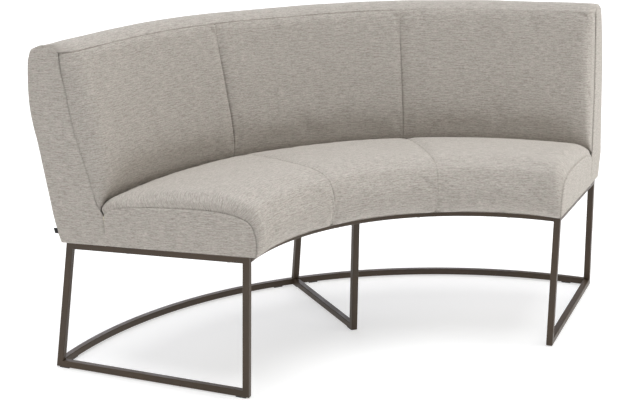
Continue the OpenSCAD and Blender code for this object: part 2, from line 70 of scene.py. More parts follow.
STRIP_END_SHARES = [(0, 0.949), (0.06, 0.96), (0.14, 0.971), (0.24, 0.981), (0.34, 0.986),
                    (0.45, 0.987), (0.58, 0.984), (0.75, 0.973), (0.9, 0.957), (1, 0.906)]
# Height of the crest against the section's, in metres, at shares of the ring from left to right
CREST_SHARES = [(0, 0.002), (0.06, -0.002), (0.12, -0.003), (0.24, -0.002), (0.36, -0.003),
                (0.44, -0.005), (0.52, -0.003), (0.6, 0), (0.75, 0.003), (0.9, 0.005),
                (0.96, 0.008), (1, 0.009)]
REAR_SHARES = [(0, 0), (0.05, 0.023), (0.13, 0.071), (0.3, 0.202), (0.5, 0.347),
               (0.72, 0.505), (0.845, 0.578), (0.955, 0.665), (1, 0.751), (1, 0.838),
               (0.98, 0.906)]
PANELS = (-1, 0, 1)
PANEL_NAMES = {-1: "left", 0: "middle", 1: "right"}
SIDE_NAMES = {-1: "left", 1: "right"}
BODY = "root"

# Small sizes of the sewing and the padding, in metres
UNEVENNESS = 0.0008
SIDE_UNEVENNESS = 0.0006
EDGE_SINK = 0.0014
EDGE_REACH = 0.02
END_GROOVE_W = 0.0024
BACK_END_GROOVE = 0.0009
SEAT_END_GROOVES = {"left": 0.0021, "right": 0.0008}
SEAT_SIDE_GROOVE = 0.0018
SIDE_GROOVE = 0.001
GATHERS = 0.00055
EDGE_GATHERS = 0.0004
GATHER_OFF = 0.006
PAD_EDGE = 0.06
FIT_GAP = 0.0003
# How much of a seam's groove shows: at the top strip, in the seat and in the outer back, and
# what a seam of the back loses towards its ends
EDGE_GROOVE_SHARE = 0.95
SEAT_SEAM_SHARE = 0.65
REAR_SEAM_SHARE = 0.6
BACK_SEAM_LOSS = 0.6
# The foam behind the back pads: its foot from the crease, its top from the leaning front line
FOAM_FOOT = (0.0117, 0.0783)
FOAM_TOP = (0.0467, 0.4593)


def length(name, text, value):
    """A size in metres for the panel."""
    return FloatProperty(name=name, description=text, default=value, unit="LENGTH", precision=4)


def amount(name, text, value):
    """A plain number for the panel."""
    return FloatProperty(name=name, description=text, default=value, precision=3)


def colour(name, text, value):
    """A colour for the panel."""
    return FloatVectorProperty(name=name, description=text, default=value, size=3,
                               subtype="COLOR", min=0, max=1)


class BenchSizes(bpy.types.PropertyGroup):
    """Sizes of the upholstery, which follow the CAD frame."""
    ring_radius: length("Ring radius", "Radius of the front faces of the end legs", 0.633)
    top_height: length("Frame height", "Height of the front edge of the frame's top", 0.386)
    slope: FloatProperty(name="Slope", description="Backward slope of the frame's top",
                         default=math.radians(3), subtype="ANGLE")
    half_angle: FloatProperty(name="Half angle", description="Half the angle of the ring",
                              default=math.radians(45), subtype="ANGLE")
    seat_depth: length("Seat depth", "From the nose of the seat to the crease", 0.451)
    seat_rise: length("Seat rise", "Height of the seat crown above the frame", 0.146)
    nose_out: length("Nose", "How far the seat nose stands out past the end legs", 0.037)
    back_rise: length("Back rise", "Height of the back above the frame", 0.519)
    back_lean: length("Back lean", "How far the front of the back leans out", 0.065)
    back_base: length("Back base", "Thickness of the back at its foot", 0.116)
    rear_lean: length("Rear lean", "How far the rear of the back leans out", 0.08)
    end_lean: FloatProperty(name="End lean", default=math.radians(5.5), subtype="ANGLE",
                            description="Angle by which the ends of the back lean in")
    lean_from: length("Lean starts", "Height above the frame where the ends start to lean", 0.078)
    pad_side: length("Pad side", "Where the pads end, from the inner face of the end frame", 0.022)
    cover_side: length("Cover side", "Where the side covers end", 0.026)
    seat_roll: length("Seat roll", "Distance over which the seat pads roll down to their ends",
                      0.03)
    back_roll: length("Back roll", "The same for the back pads and the top strip on the left",
                      0.05)
    crown: length("Crown", "How far a panel swells between its seams", 0.0035)
    cloth_ease: amount("Cloth ease", "Share by which the pads' cloth is cut larger", 0.004)
    cloth_pressure: amount("Pressure", "Pressure that swells the pads in the simulation", 4.0)
    cloth_limit: length("Swell limit", "How far the simulation may move the cloth", 0.0055)
    seam_sink: length("Seam sink", "How far the padding sinks beside a seam", 0.003)
    seam_reach: length("Seam reach", "How far the sinking beside a seam reaches", 0.03)
    seam_groove: length("Seam groove", "Depth of the narrow groove of a seam", 0.0026)
    seam_groove_w: length("Groove width", "Half the width of that groove", 0.0022)


class BenchFinish(bpy.types.PropertyGroup):
    """Colours and finishes."""
    light_thread: colour("Light thread", "Lightest thread of the cloth", (0.565, 0.53, 0.488))
    dark_thread: colour("Dark thread", "Darkest thread of the cloth", (0.215, 0.196, 0.172))
    # The seam colour is painted shade: the dark of a seam's groove, laid on the cloth near its
    # first edge
    seam: colour("Seam", "Cloth in the seam under the top strip", (0.13, 0.105, 0.085))
    steel: colour("Steel paint", "Bronze paint of the frame", (0.062, 0.043, 0.028))
    glide: colour("Glides", "Plastic of the glides", (0.012, 0.012, 0.012))
    floor: colour("Floor", "Plain pale floor", (0.6, 0.6, 0.6))
    floor_glow: amount("Floor glow", "Light of the floor itself, which lightens its shadows", 0.55)
    softbox: amount("Softbox", "Power of the soft box at the right end", 12.0)
    sky: amount("Sky", "Strength of the light from all around", 0.04)


# Lines and surfaces

def smooth_line(points, steps=8):
    """Points along a smooth line through the given ones: between two of them it is the cubic whose
    direction at each of them is that of the line between its two neighbours."""
    p = np.asarray(points, float)
    p = np.vstack([2 * p[0] - p[1], p, 2 * p[-1] - p[-2]])
    u = np.linspace(0, 1, steps, endpoint=False)[None, :, None]
    a, b, c, d = (p[i:len(p) - 3 + i, None] for i in range(4))
    spans = 0.5 * (2 * b + (c - a) * u + (2 * a - 5 * b + 4 * c - d) * u ** 2
                   + (3 * b - a - 3 * c + d) * u ** 3)
    return np.vstack([spans.reshape(-1, p.shape[1]), p[-2]])


def travelled(points):
    """Distance travelled along a line at each of its points."""
    steps = np.linalg.norm(np.diff(points, axis=0), axis=1)
    return np.concatenate([[0], np.cumsum(steps)])


def evenly(points, count):
    """The same line with count points at even distances."""
    way = travelled(points)
    at = np.linspace(0, way[-1], count)
    return np.stack([np.interp(at, way, points[:, i]) for i in range(points.shape[1])], 1)


def dense_at_ends(count, pull=0.8):
    """Values from 0 to 1 that lie closer together near both ends."""
    t = np.linspace(0, 1, count)
    return t - pull * np.sin(2 * np.pi * t) / (2 * np.pi)


def quarter_round(v):
    """Height of a quarter circle at v of its width: level from 1 on, upright at 0."""
    v = np.clip(v, 0, 1)
    return np.sqrt(np.maximum(1 - (1 - v) ** 2, 0))


def fade(v):
    """Falls smoothly from 1 at 0 to 0 at 1."""
    v = np.clip(v, 0, 1)
    return (1 - v) ** 2 * (1 + 2 * v)


def waves(x, y, seed, shortest, longest, count=9):
    """A soft unevenness from about -1 to 1: a sum of sine waves whose lengths, directions and
    phases come from the seed, divided by a little more than the root of their number."""
    draw = np.random.default_rng(seed)
    total = np.zeros(np.broadcast(x, y).shape)
    for _ in range(count):
        turn, phase = draw.uniform(0, 2 * np.pi, 2)
        number = 2 * np.pi / draw.uniform(shortest, longest)
        total += np.sin(number * (x * np.cos(turn) + y * np.sin(turn)) + phase)
    return total / (count ** 0.5 * 1.6)


def grid_normals(points):
    """Unit normals of a grid of points, from the cross product of its two directions."""
    n = np.cross(np.gradient(points, axis=0), np.gradient(points, axis=1))
    return n / np.maximum(np.linalg.norm(n, axis=-1, keepdims=True), 1e-12)


def grid_faces(rows, columns, wrap=False):
    """Quads between neighbouring rows and columns of a grid; wrap joins the last column to the
    first one."""
    i, j = np.meshgrid(np.arange(rows - 1), np.arange(columns if wrap else columns - 1),
                       indexing="ij")
    k = (j + 1) % columns
    return np.stack([i * columns + j, i * columns + k, (i + 1) * columns + k,
                     (i + 1) * columns + j], -1).reshape(-1, 4)


def make_piece(name, points, quads, triangles=(), uv=None, sharp=55):
    """Puts a closed surface into a new mesh object, with its faces turned outwards."""
    quads, triangles = np.asarray(quads, int), np.asarray(triangles, int).reshape(-1, 3)
    a, b, c = (points[np.concatenate([quads[:, i], triangles[:, i]])] for i in range(3))
    half = points[quads[:, 0]], points[quads[:, 2]], points[quads[:, 3]]
    inside_out = (a * np.cross(b, c)).sum() + (half[0] * np.cross(half[1], half[2])).sum() < 0
    if inside_out:
        quads, triangles = quads[:, ::-1], triangles[:, ::-1]
    mesh = bpy.data.meshes.new(name)
    mesh.from_pydata(points.tolist(), [], quads.tolist() + triangles.tolist())
    if uv is not None:
        layer = mesh.uv_layers.new(name="cloth")
        corners = np.concatenate([quads.ravel(), triangles.ravel()])
        layer.data.foreach_set("uv", uv[corners].ravel())
    mesh.shade_smooth()
    mesh.set_sharp_from_angle(angle=math.radians(sharp))
    mesh.validate()
    piece = bpy.data.objects.new(name, mesh)
    bpy.context.scene.collection.objects.link(piece)
    return piece


def finish_piece(piece, material, nodes):
    """Gives a piece its material, its body and the CAD nodes that it stands for."""
    piece.data.materials.append(material)
    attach(piece, BODY)
    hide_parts(*nodes)
    return piece


def close_rings(name, outer, inner, uv, **options):
    """A closed surface from two grids of the same number of rows: the outer one, and the inner
    one behind it, joined along their edges and capped at the first and the last row."""
    rows, count, extra = outer.shape[0], outer.shape[1], inner.shape[1]
    ring = np.concatenate([outer, inner[:, ::-1]], 1)
    ring_uv = np.concatenate([uv, np.repeat(uv[:, -1:], extra, 1)], 1)
    size = count + extra
    # A cap joins each outer point to the inner one across, by bands
    across = np.round(np.linspace(0, extra - 1, count)).astype(int)
    i = np.arange(count - 1)
    near, far = size - 1 - across[:-1], size - 1 - across[1:]
    band = np.stack([i, near, far, i + 1], 1)
    quads = np.concatenate([grid_faces(rows, size, wrap=True), band[:, ::-1],
                            band + (rows - 1) * size])
    same = quads[:, 1] == quads[:, 2]
    return make_piece(name, ring.reshape(-1, 3), quads[~same], quads[same][:, [0, 1, 3]],
                      ring_uv.reshape(-1, 2), **options)


# The bench's own lines

class Lines:
    """The section lines of the bench in metres, from its sizes."""

    def __init__(self, size):
        self.size = size
        self.crease = size.seat_depth - size.nose_out
        self.rear_base = self.crease + size.back_base
        seat = size.seat_depth, size.seat_rise, -size.nose_out
        back = size.back_lean, size.back_rise, self.crease
        self.seat = self.scaled(SEAT_SHARES, *seat)
        self.seat_end = self.scaled(SEAT_END_SHARES, *seat)
        self.back = self.scaled(BACK_SHARES, *back)
        self.back_end = self.scaled(BACK_END_SHARES, *back)
        self.rear = self.scaled(REAR_SHARES, size.rear_lean, size.back_rise, self.rear_base)
        self.strip = self.strip_line(STRIP_SHARES, self.back[-1])
        self.strip_end = self.strip_line(STRIP_END_SHARES, self.back_end[-1])
        self.panel = size.half_angle * 2 / len(PANELS)
        front = self.level(self.seat_end)[0].min()
        rear = self.level(self.rear)[0].max()
        front = math.cos(size.half_angle) * front - math.sin(size.half_angle) * size.cover_side
        self.middle_y = -(front + rear) / 2

    def scaled(self, shares, along, up, start):
        """An outline from its shares: the first one of a length from a start, the second one of
        a height."""
        return np.array([(start + a * along, b * up) for a, b in shares])

    def strip_line(self, shares, front):
        """The line over the crest, between the front one's last point and the rear line."""
        return np.array([(front[0] + a * (self.rear[-1][0] - front[0]), b * self.size.back_rise)
                         for a, b in shares])

    def level(self, section):
        """Radius and height of points of a sloping section."""
        s, n = section[..., 0], section[..., 1]
        cos, sin = math.cos(self.size.slope), math.sin(self.size.slope)
        return (self.size.ring_radius + s * cos + n * sin, self.size.top_height - s * sin + n * cos)

    def lean_in(self, height):
        """How far the back's ends lean in at a height: not at all up to where the lean starts,
        and from there in a straight line."""
        return np.maximum(0, height - self.size.lean_from) * math.tan(self.size.end_lean)

    def place(self, section, angle, across):
        """Points in space of a section that is turned to an angle and moved across, square to
        its plane."""
        radius, height = self.level(section)
        sin, cos = np.sin(angle), np.cos(angle)
        place = (sin * radius + cos * across, cos * radius - sin * across + self.middle_y, height)
        return np.stack(np.broadcast_arrays(*place), -1)

    def across(self, angle, section=None):
        """How far a station is moved across: from 0 at the inner seams to the pads' end, which
        leans in with the height of a section's points where one is given."""
        share = np.sign(angle) * np.clip((np.abs(angle) - self.panel / 2) / self.panel, 0, 1)
        lean = 0 if section is None else self.lean_in(section[..., 1])
        return share * (self.size.pad_side - lean)

    def carry(self, section, angles, leans):
        """The points of a section at each station round the ring."""
        a = angles[:, None]
        if leans:
            section = self.lifted(section, a)
        return self.place(section, a, self.across(a, section if leans else None))

    def lifted(self, section, angle):
        """A section raised or lowered as the crest is at an angle: not at all up to a low share
        of the back's height, and fully from a high one on."""
        low, high = 0.3, 0.9
        share, rise = np.array(CREST_SHARES).T
        lift = np.interp(angle / self.size.half_angle / 2 + 0.5, share, rise)
        height = section[..., 1] / self.size.back_rise
        lift = lift * (1 - fade((height - low) / (high - low)))
        return section + np.stack([0 * lift, lift], -1)

    def drawn_in(self, angle):
        """How tightly the front seam of the top strip is drawn in: from halfway to the right end
        on it loosens over a share of the half angle."""
        loose, tight, from_share, over_share = 0.3, 1.4, 0.5, 0.22
        return loose + (tight - loose) * fade(
            (angle / self.size.half_angle - from_share) / over_share)

    def back_rolled(self, angles, radius):
        """0 at the ends of the back and 1 where its full section starts, sooner on the right."""
        right_share = 0.34
        roll = np.where(angles < 0, self.size.back_roll, self.size.back_roll * right_share)
        return quarter_round(self.to_end(angles, radius) / roll)

    def to_end(self, angle, radius):
        """Distance from a station to the end of the bench."""
        return ((self.size.half_angle - np.abs(angle)) * radius
                + self.size.pad_side - np.abs(self.across(angle)))

    def to_seam(self, angle, radius):
        """Distance from a station to the nearer of the two inner seams."""
        return np.abs(np.abs(angle) - self.panel / 2) * radius


def edge_dip(size, distance):
    """How deep the cloth lies at a distance from the top strip's seams: a wide sinking of the
    padding and a narrow groove, a bell curve."""
    return (EDGE_SINK * fade(distance / EDGE_REACH) + size.seam_groove * EDGE_GROOVE_SHARE
            * np.exp(-(distance / size.seam_groove_w) ** 2))


def seam_dip(size, distance):
    """How deep the cloth lies at a distance from a seam: a wide sinking of the padding and a
    narrow groove, a bell curve, along the seam itself."""
    wide = size.seam_sink * fade(distance / size.seam_reach)
    return wide + size.seam_groove * np.exp(-(distance / size.seam_groove_w) ** 2)


def settled(name, outer, inner, size):
    """How far a cloth simulation swells a pad, at each point of its outer grid. The skin, on a
    grid of every second point, is held along its seams and on the foam behind it, is cut a
    little larger than its frame, and is blown up by a low pressure without weight."""
    rows, columns = outer.shape[:2]
    frames, inward_share = 20, 0.4
    skin = outer[::2, ::2]
    body = close_rings(name + "_settling", skin, inner[:, ::2], np.zeros(skin.shape[:2] + (2,)))
    count = skin.shape[1]
    held = np.ones((skin.shape[0], len(body.data.vertices) // skin.shape[0]), bool)
    held[1:-1, 1:count - 1] = False
    body.vertex_groups.new(name="held").add(np.flatnonzero(held).tolist(), 1.0, "REPLACE")
    cloth = body.modifiers.new("cloth", "CLOTH")
    rules = cloth.settings
    rules.quality, rules.mass, rules.vertex_group_mass = 6, 0.3, "held"
    rules.tension_stiffness, rules.compression_stiffness, rules.bending_stiffness = 25, 20, 1.5
    rules.shrink_min = -size.cloth_ease
    rules.use_pressure, rules.uniform_pressure_force = True, size.cloth_pressure
    rules.effector_weights.gravity = 0
    cloth.collision_settings.use_collision = False
    cloth.point_cache.frame_start, cloth.point_cache.frame_end = 1, frames
    scene = bpy.context.scene
    for number in range(1, frames + 1):
        scene.frame_set(number)
    mesh = body.evaluated_get(bpy.context.evaluated_depsgraph_get()).data
    moved = np.empty(len(mesh.vertices) * 3)
    mesh.vertices.foreach_get("co", moved)
    moved = moved.reshape(held.shape + (3,))[:, :count] - skin
    start = body.data
    bpy.data.objects.remove(body)
    bpy.data.meshes.remove(start)
    scene.frame_set(1)
    normal = grid_normals(skin)
    normal = normal * np.sign(((skin - inner.mean(1, keepdims=True)) * normal).sum())
    out = (moved * normal).sum(-1)
    limit = np.where(out > 0, size.cloth_limit, inward_share * size.cloth_limit)
    out = limit * np.tanh(out / limit)
    out = smooth_line(smooth_line(out, 2).T, 2).T
    return out[:rows, :columns]


def swept_panel(lines, name, angles, inside, at_end, inner, roll_radius, seed, leans=False):
    """A padded panel: the section line carried round the ring, rolled down to the end line near
    the end of the bench, swelled between its seams and sunk beside them. A panel that leans is
    sewn to the top strip along its last line."""
    size = lines.size
    line, end_line = smooth_line(inside), smooth_line(at_end)
    way = travelled(line)
    a = angles[:, None]
    share = (lines.back_rolled(angles, roll_radius) if leans else
             quarter_round(lines.to_end(angles, roll_radius) / size.seat_roll))[:, None, None]
    section = end_line + (line - end_line) * share
    grid = lines.carry(section, angles, leans)
    radius = lines.level(section)[0]
    run = a * roll_radius + 0 * radius
    up = way + 0 * radius
    own_way = np.cumsum(np.linalg.norm(np.diff(section, axis=1), axis=-1), axis=1)
    own_way = np.pad(own_way, ((0, 0), (1, 0)))
    back = lines.carry(inner, angles, leans)
    normal = grid_normals(grid)
    if ((grid - back.mean(1, keepdims=True)) * normal).sum() < 0:
        normal = -normal
    # Swell and unevenness die away where the section ends
    from_ends = np.minimum(way, way[-1] - way)
    body = 1 - fade(from_ends / PAD_EDGE)
    beside = lines.to_seam(a, radius)
    lift = settled(name, grid, back[::2], size)
    lift = lift + (UNEVENNESS * waves(run, up, seed, shortest=0.12, longest=0.3) * body
                   * share[..., 0])
    seam_share = 1 - BACK_SEAM_LOSS * (1 - body) if leans else SEAT_SEAM_SHARE
    lift = lift - seam_dip(size, beside) * seam_share
    # Small gathers beside the seams, bell curves around a few millimetres from them
    pull = np.exp(-((beside - GATHER_OFF) / 0.012) ** 2) * body
    lift = lift + GATHERS * pull * waves(up * 0, up, seed + 7, shortest=0.012, longest=0.035)
    if leans:
        off = way[-1] - way
        lift = lift - lines.drawn_in(a) * edge_dip(size, off)
        lift = lift + (EDGE_GATHERS * np.exp(-((off - GATHER_OFF) / 0.01) ** 2)
                       * waves(run, run * 0, seed + 11, shortest=0.014, longest=0.04))
    # The end seam draws the cloth in; the cloth's own lengths make its pattern's coordinates
    deep = BACK_END_GROOVE if leans else np.where(a < 0, *SEAT_END_GROOVES.values())
    lift = lift - deep * np.exp(-(lines.to_end(a, roll_radius) / END_GROOVE_W) ** 2)
    along = np.cumsum(np.linalg.norm(np.diff(grid, axis=0), axis=-1), axis=0)
    along = np.pad(along, ((1, 0), (0, 0)))
    along = along - along[len(along) // 2] + run[len(run) // 2]
    grid = grid + normal * lift[..., None]
    uv = np.stack([along, own_way - own_way[:, -1:] if leans else up], -1)
    return close_rings(name, grid, back, uv)


def panel_angles(lines, k, count=81):
    """Stations across a panel, which lie closer together near its seams."""
    return (k - 0.5 + dense_at_ends(count)) * lines.panel


def ring_angles(lines):
    """The stations of all three panels, each only once."""
    return np.concatenate([panel_angles(lines, k)[1 if k > -1 else 0:] for k in PANELS])


def seat_inner(lines):
    """The hidden side of a seat pad: up the front board, then over the base foam."""
    foam_top, board, first, short_of_crease = 0.078, -0.002, 0.03, 0.018
    up = [(board, h) for h in np.linspace(FIT_GAP, foam_top, 8)]
    over = [(s, foam_top) for s in np.linspace(first, lines.crease - short_of_crease, 24)]
    return np.array(up + over)


def back_inner(lines):
    """The hidden side of a back pad, on the leaning base foam."""
    foot = np.array([lines.crease + FOAM_FOOT[0], FOAM_FOOT[1]])
    top = np.array([lines.crease + lines.size.back_lean + FOAM_TOP[0], FOAM_TOP[1]])
    return foot + (top - foot) * np.linspace(0, 1, 24)[:, None]


def hemmed(points, reach=0.007, rise=0.0006, bend_share=0.35):
    """Adds the turned-under hem before the first point of an outline that starts at its foot."""
    first = np.asarray(points[0])
    hem = [first + (reach, rise), first + (reach * bend_share, 0.0)]
    return np.vstack([hem, points])


def make_seat_pad(lines, k):
    """A seat pad: from its hem under the nose over the crown to the crease."""
    return swept_panel(lines, f"seat_cushion_{PANEL_NAMES[k]}", panel_angles(lines, k),
                       hemmed(lines.seat), hemmed(lines.seat_end), seat_inner(lines),
                       lines.size.ring_radius, seed=20 + k)


def make_back_pad(lines, k):
    """A back pad: from the crease up to the seam of the top strip."""
    return swept_panel(lines, f"back_cushion_{PANEL_NAMES[k]}", panel_angles(lines, k),
                       lines.back, lines.back_end, back_inner(lines),
                       lines.size.ring_radius + lines.crease, seed=40 + k, leans=True)


def make_top_strip(lines):
    """The strip over the back: its section from the front seam over the crest to the rear seam,
    carried round the whole ring."""
    size = lines.size
    angles = ring_angles(lines)
    roll_radius = size.ring_radius + lines.crease
    line, end_line = smooth_line(lines.strip), smooth_line(lines.strip_end)
    way = travelled(line)
    share = lines.back_rolled(angles, roll_radius)[:, None, None]
    section = end_line + (line - end_line) * share
    a = angles[:, None]
    grid = lines.carry(section, angles, True)
    normal = grid_normals(grid)
    if normal[..., 2].sum() < 0:
        normal = -normal
    run, up = a * roll_radius + 0 * way, way + 0 * a
    lift = UNEVENNESS * waves(run, up, seed=61, shortest=0.1, longest=0.26)
    for off, drawn in ((way, lines.drawn_in(a)), (way[-1] - way, 1)):
        lift = lift - drawn * edge_dip(size, off)
    grid = grid + normal * lift[..., None]
    board_top, cover = 0.4598, 0.004
    bottom = np.array([back_inner(lines)[-1], (lines.rear[-1][0] - cover, board_top)])
    inner = bottom[0] + (bottom[1] - bottom[0]) * np.linspace(0, 1, 12)[:, None]
    return close_rings("top_strip_cover", grid, lines.carry(inner, angles, True),
                       np.stack([run, up], -1))


def make_rear_cover(lines):
    """The outer back: the rear line carried round the ring, rolled in at both ends and sunk a
    little at two seams, with its inner side at an even distance inside."""
    size = lines.size
    cover, end_roll, end_sink, edge_roll, edge_sink = 0.0055, 0.012, 0.0035, 0.006, 0.0022
    level_end = 0.05
    angles = ring_angles(lines)
    line = evenly(smooth_line(lines.rear), 90)
    way = travelled(line)
    a = angles[:, None]
    section = line + 0 * a[..., None]
    grid = lines.carry(section, angles, True)
    normal = grid_normals(grid)
    if (normal * grid)[..., 1].sum() < 0:
        normal = -normal
    radius = lines.level(section)[0]
    off_end = lines.to_end(a, radius)
    run, up = a * radius.mean() + 0 * way, way + 0 * a
    lift = (UNEVENNESS * waves(run, up, seed=71, shortest=0.15, longest=0.4)
            * (1 - fade(off_end / level_end)))
    lift = lift - end_sink * (1 - quarter_round(off_end / end_roll))
    lift = lift - REAR_SEAM_SHARE * seam_dip(size, lines.to_seam(a, radius))
    for off in (way, way[-1] - way):
        lift = lift - edge_sink * (1 - quarter_round(off / edge_roll))
    return close_rings("outer_back_cover", grid + normal * lift[..., None],
                       lines.carry(section - (cover, 0), angles, True),
                       np.stack([run, up], -1))


def block_section(corners, count=7, corner=0.0025, first_share=0.02):
    """A rectangular section with slightly rounded corners, as an outer and an inner line: the
    outer one goes from the first of its four corners round to the last one."""
    p = np.asarray(corners, float)
    outer = [p[0] + (p[1] - p[0]) * first_share]
    turn = np.linspace(0, np.pi / 2, count)[:, None]
    for before, here, after in ((p[0], p[1], p[2]), (p[1], p[2], p[3])):
        into, out = ((end - here) / np.linalg.norm(end - here) * corner
                     for end in (before, after))
        outer.append(here + into * (1 - np.sin(turn)) + out * (1 - np.cos(turn)))
    outer.append(p[3] + (p[2] - p[3]) * first_share)
    inner = p[0] + (p[3] - p[0]) * np.linspace(0, 1, 5)[:, None]
    return np.vstack(outer), inner


def make_block(lines, name, corners, leans=False):
    """A plain layer of foam or board: a rectangular section carried round the whole ring."""
    angles = np.linspace(-lines.size.half_angle, lines.size.half_angle, 97)
    outer, inner = block_section(corners)
    run = angles[:, None] * lines.size.ring_radius + 0 * outer[:, 0]
    uv = np.stack([run, travelled(outer) + 0 * run], -1)
    return close_rings(name, lines.carry(outer, angles, leans),
                       lines.carry(inner, angles, leans), uv, sharp=40)


def make_straps(lines, count=12, wide=0.06):
    """Elastic straps under the seat's foam, from the front board to the rear one: each is a flat
    band with rounded edges that sags a little between them."""
    front, rear, height, sag, half_thick, edge = 0.0035, 0.4205, 0.05095, 0.0016, 0.00095, 0.001
    turn = np.linspace(0, 2 * np.pi, 16, endpoint=False)
    loop = np.stack([np.sign(np.cos(turn)) * (wide / 2 - edge * (1 - np.abs(np.cos(turn)))),
                     half_thick * np.sin(turn)], 1)
    reach = np.linspace(front, rear, 15)
    dip = -sag * np.sin(np.linspace(0, np.pi, 15))
    at = (np.arange(count) + 0.5) / count * 2 * lines.size.half_angle - lines.size.half_angle
    section = np.stack([reach[:, None] + 0 * loop[:, 0],
                        height + dip[:, None] + loop[:, 1]], -1)
    points = lines.place(section[None], at[:, None, None], loop[:, 0])
    one = grid_faces(len(reach), len(loop), wrap=True)
    i = np.arange(len(loop) // 2 - 1)
    cap = np.stack([i, i + 1, len(loop) - 2 - i, len(loop) - 1 - i], 1)
    one = np.concatenate([one, cap, cap[:, ::-1] + (len(reach) - 1) * len(loop)])
    quads = one[None] + (np.arange(count) * len(reach) * len(loop))[:, None, None]
    return make_piece("elastic_straps", points.reshape(-1, 3), quads.reshape(-1, 4), sharp=50)


def make_dust_cover(lines, front, rear):
    """The thin cloth stapled under the wooden frame, drawn tight: a flat ring whose two faces
    rise and fall together by a few tenths of a millimetre."""
    thick, foot, ripple, run_radius = 0.0007, 0.00045, 0.0002, 0.9
    angles = np.linspace(-lines.size.half_angle, lines.size.half_angle, 121)
    reach = np.linspace(front, rear, 60)
    a = angles[:, None]
    run = a * run_radius
    low = foot + ripple * waves(run, reach, seed=55, shortest=0.05, longest=0.3)
    under = np.stack([reach + 0 * a, low], -1)
    over = under + (0, thick)
    grids = [lines.carry(face, angles, False) for face in (under, over)]
    uv = np.stack([run + 0 * reach, reach + 0 * a], -1)
    return close_rings("dust_cloth_sheet", *grids, uv, sharp=40)


def to_outline(points, outline):
    """Distance from each point to a closed outline, and which of its points is nearest."""
    gap = np.linalg.norm(points[:, None] - outline[None], axis=2)
    nearest = gap.argmin(1)
    return gap[np.arange(len(points)), nearest], nearest


def rounding(lines, outline):
    """How wide the edge of a side cover is rounded: more at the crest and at the rear's foot."""
    narrow, wider, rear_reach, low_reach, top_reach = 0.011, 0.013, 0.02, 0.03, 0.035
    s, n = outline[:, 0], outline[:, 1]
    rear = np.interp(n, lines.rear[:, 1], lines.rear[:, 0])
    near_rear = fade((rear - s) / rear_reach) * fade((low_reach - n) / low_reach)
    near_top = fade((lines.strip[:, 1].max() - n) / top_reach)
    return narrow + wider * np.maximum(near_rear, near_top)


def make_side_cover(lines, side, name, outline, held, middle, seed, leans):
    """A flat padded panel on the end of the bench: rays from its middle to its outline, which
    it nears in ever smaller steps, and a quarter round down to the seam at its edge. held is 0
    where the panel runs on into its neighbour and 1 where it is sewn down. A bell curve dents
    it low beside the crease."""
    size = lines.size
    swell, swell_reach, dent, rim_gap = 0.0016, 0.06, 0.0024, 0.0006
    dent_place, dent_reach = (lines.crease - 0.014, 0.03), (0.016, 0.01)
    count, rings, crowding, level_rim = len(outline), 30, 1.8, 0.03
    reach = 1 - (1 - np.linspace(0, 1, rings)[1:]) ** crowding
    flat = middle + (outline - middle) * reach[:, None, None]
    flat = np.concatenate([[middle], flat.reshape(-1, 2)])
    off, nearest = to_outline(flat, outline)
    off[-count:] = 0
    edge = held[nearest]
    pull = np.exp(-np.linalg.norm((flat - dent_place) / dent_reach, axis=1) ** 2)
    raised = (size.cover_side - (size.cover_side - size.pad_side - rim_gap) * edge
              * (1 - quarter_round(off / rounding(lines, outline)[nearest])))
    raised = raised + edge * swell * (1 - fade(off / swell_reach)) - dent * pull
    deep = SIDE_GROOVE if leans or side > 0 else SEAT_SIDE_GROOVE
    raised = raised - deep * edge * np.exp(-(off / END_GROOVE_W) ** 2)
    raised = np.maximum(raised, size.pad_side + FIT_GAP)
    raised = raised + SIDE_UNEVENNESS * (1 - fade(off / level_rim)) * waves(
        flat[:, 0], flat[:, 1], seed, shortest=0.08, longest=0.2)
    angle = side * size.half_angle
    if leans:
        flat = lines.lifted(flat, angle)
    lean = lines.lean_in(flat[:, 1]) if leans else 0
    outer = lines.place(flat, angle, side * (raised - lean))
    inner = lines.place(flat, angle, side * (size.pad_side - lean + 0 * raised))
    points = np.concatenate([outer, inner])
    total = len(flat)
    ray = np.arange(count)
    quads = grid_faces(rings - 1, count, wrap=True) + 1
    fan = np.stack([np.zeros(count, int), ray + 1, (ray + 1) % count + 1], 1)
    rim = total - count + np.stack([ray, (ray + 1) % count], 1)
    walls = np.stack([rim[:, 1], rim[:, 0], rim[:, 0] + total, rim[:, 1] + total], 1)
    all_quads = np.concatenate([quads[:, ::-1], quads + total, walls[:, ::-1]])
    fans = np.concatenate([fan, fan[:, ::-1] + total])
    uv = np.concatenate([flat, flat])
    return make_piece(name, points, all_quads, fans, uv, sharp=60)


def joined_outline(parts, count, same=1e-6):
    """One closed outline from several lines, with count points at even distances. Points that
    are the same but for a rounding error count once."""
    line = np.vstack(parts)
    keep = np.concatenate([[True], np.linalg.norm(np.diff(line, axis=0), axis=1) > same])
    line = line[keep]
    return evenly(np.vstack([line, line[:1]]), count + 1)[:-1]


def fused(outline, crease, low=0.028, high=0.045, near=0.002):
    """Where an outline is sewn down: everywhere but low on the line at the crease, where the
    cloth of the seat's side runs on into that of the back's side."""
    at_crease = np.abs(outline[:, 0] - crease) < near
    return np.where(at_crease, 1 - fade((outline[:, 1] - low) / (high - low)), 1.0)


def seat_side_outline(lines):
    """The end line of the seat, down its rear and back along its foot."""
    top = smooth_line(lines.seat_end)
    rear = top[-1]
    return joined_outline([top, np.array([rear, (rear[0], 0)])], count=260)


def back_side_outline(lines):
    """The end lines of the back: up its front, over the crest and down its rear. The front
    leaves the crease upright and bends over into the leaning line."""
    foot = lines.seat_end[-1][0]
    bend = [(foot, 0.055), (foot + 0.001, 0.07), (foot + 0.0025, 0.082)]
    front = smooth_line([*bend, *lines.back_end[1:]])
    top = smooth_line(lines.strip_end)
    rear = smooth_line(lines.rear)[::-1]
    return joined_outline([np.array([(foot, 0)]), front, top[1:], rear[1:]], count=420)


# Materials

